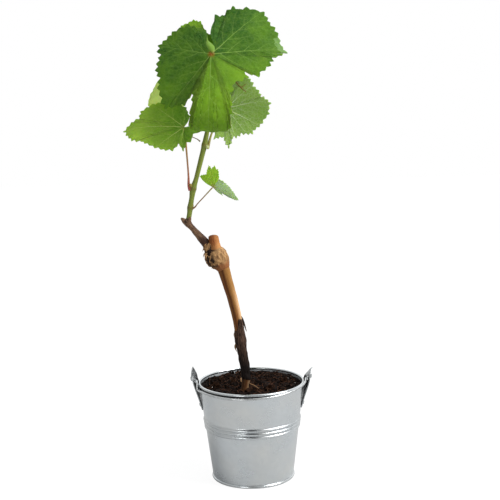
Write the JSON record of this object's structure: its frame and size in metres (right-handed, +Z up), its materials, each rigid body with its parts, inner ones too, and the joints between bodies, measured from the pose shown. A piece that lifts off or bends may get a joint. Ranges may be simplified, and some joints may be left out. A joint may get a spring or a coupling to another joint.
{
  "type": "potted grapevine",
  "caption": "Young grafted grapevine with lobed, toothed leaves on one green shoot, rooted in a small galvanised pail with a swinging wire bail.",
  "frame": {"origin": "centre of the pail's flat underside", "axes": "+Z up the pail's axis, -Y towards the resting bail and the face of the main leaf, +X to the right seen from there"},
  "size_m": [0.1852, 0.113, 0.4804],
  "materials": {
    "galvanised_steel": "satin",
    "bail_wire": "satin",
    "potting_soil": "matte",
    "bark": "matte",
    "cane_wood": "satin",
    "green_shoot": "satin",
    "leaf_stalk": "satin",
    "leaf_blade": "satin"
  },
  "bodies": {
    "root": {"pail_body": "galvanised_steel", "pail_bottom": "galvanised_steel", "ear_left": "galvanised_steel", "rivet_left": "galvanised_steel", "ear_right": "galvanised_steel", "rivet_right": "galvanised_steel", "soil": "potting_soil", "rootstock": "bark", "graft_union": "cane_wood", "cut_stub": "cane_wood", "old_spur": "bark", "shoot": "green_shoot", "petiole_main": "leaf_stalk", "petiole_lower_left": "leaf_stalk", "petiole_back_left": "leaf_stalk", "petiole_back_right": "leaf_stalk", "petiole_top": "leaf_stalk", "petiole_small": "leaf_stalk", "leaf_main": "leaf_blade", "leaf_lower_left": "leaf_blade", "leaf_back_right": "leaf_blade", "leaf_back_left": "leaf_blade", "leaf_top": "leaf_blade", "leaf_small": "leaf_blade"},
    "bail": {"bail": "bail_wire"}
  },
  "joints": [
    {"name": "bail_swing", "type": "hinge", "parent": "root", "child": "bail", "pos_m": [0, 0, 0.1025], "axis": [-1, 0, 0], "range_deg": [0, 66]}
  ]
}
